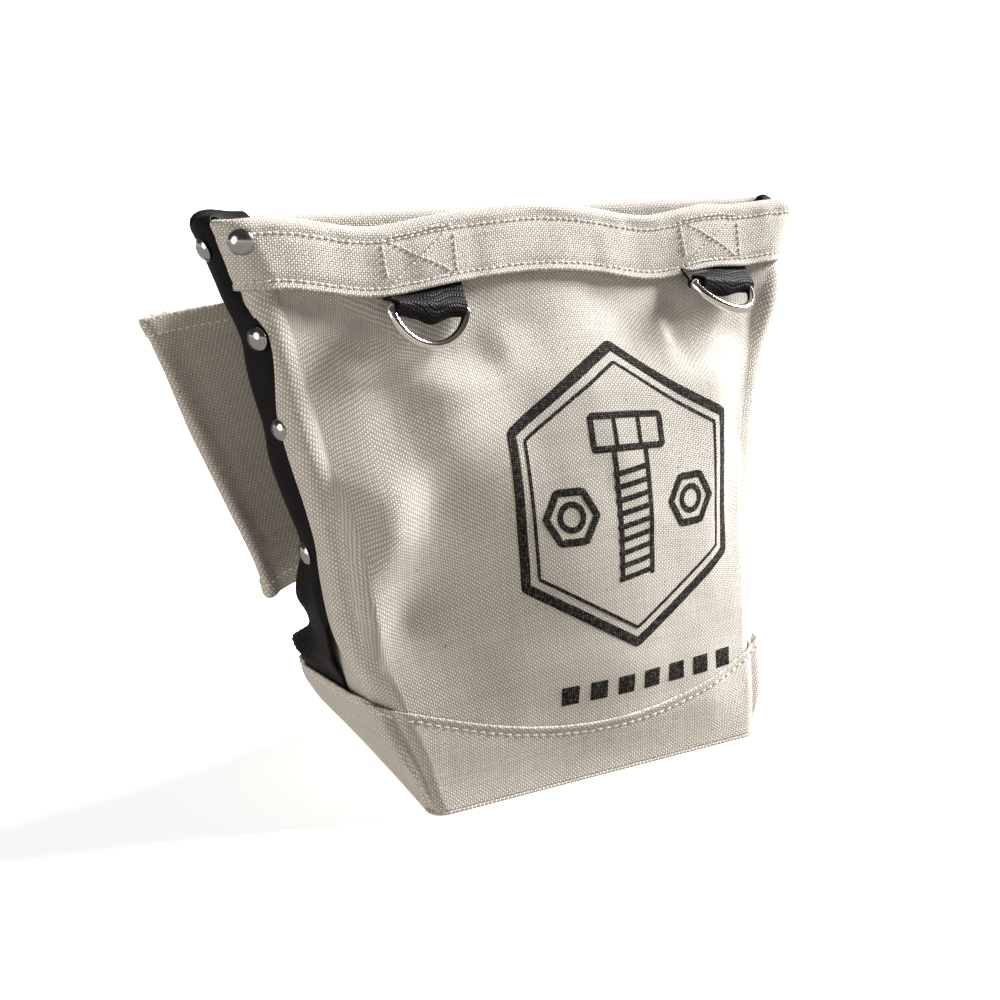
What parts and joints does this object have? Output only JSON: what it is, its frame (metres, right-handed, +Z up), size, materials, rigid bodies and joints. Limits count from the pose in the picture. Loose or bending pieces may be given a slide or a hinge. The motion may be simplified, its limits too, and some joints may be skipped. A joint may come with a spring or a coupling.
{
  "type": "tool bucket organizer",
  "caption": "Open-topped canvas bolt bag with a flattened mouth, double bottom, riveted side straps, rear tunnel sleeve and swinging D-rings on webbing tabs.",
  "frame": {"origin": "on the floor, at the middle of the flat base", "axes": "+Z up, front face towards -Y, +X to the right seen from the front"},
  "size_m": [0.3447, 0.1195, 0.2564],
  "materials": {
    "canvas": "natural off-white heavy duck canvas",
    "boot_canvas": "second layer of natural duck canvas",
    "webbing": "black woven webbing",
    "nickel": "bright nickel plate"
  },
  "bodies": {
    "bag": {"front_panel": "canvas", "back_panel": "canvas", "left_side_panel": "canvas", "right_side_panel": "canvas", "front_hem": "canvas", "back_hem": "canvas", "inner_bottom": "canvas", "boot_base": "boot_canvas", "boot_front": "boot_canvas", "boot_right": "boot_canvas", "boot_back": "boot_canvas", "boot_left": "boot_canvas", "left_side_strap": "webbing", "right_side_strap": "webbing", "left_ring_tab": "webbing", "right_ring_tab": "webbing", "tunnel_sleeve": "canvas", "hem_rivet_head": "nickel", "left_strap_rivets": "nickel", "right_strap_rivets": "nickel", "hem_rivet_washer": "nickel", "left_strap_washers": "nickel", "right_strap_washers": "nickel"},
    "left_ring": {"left_d_ring": "nickel"},
    "right_ring": {"right_d_ring": "nickel"}
  },
  "joints": [
    {"name": "left_ring_swing", "type": "hinge", "parent": "bag", "child": "left_ring", "pos_m": [-0.071, -0.0183, 0.21535], "axis": [-0.9948, -0.0521, 0.0872], "range_deg": [-14, 110]},
    {"name": "right_ring_swing", "type": "hinge", "parent": "bag", "child": "right_ring", "pos_m": [0.087, -0.01902, 0.21646], "axis": [-0.9823, -0.1556, 0.1045], "range_deg": [-42, 80]}
  ]
}
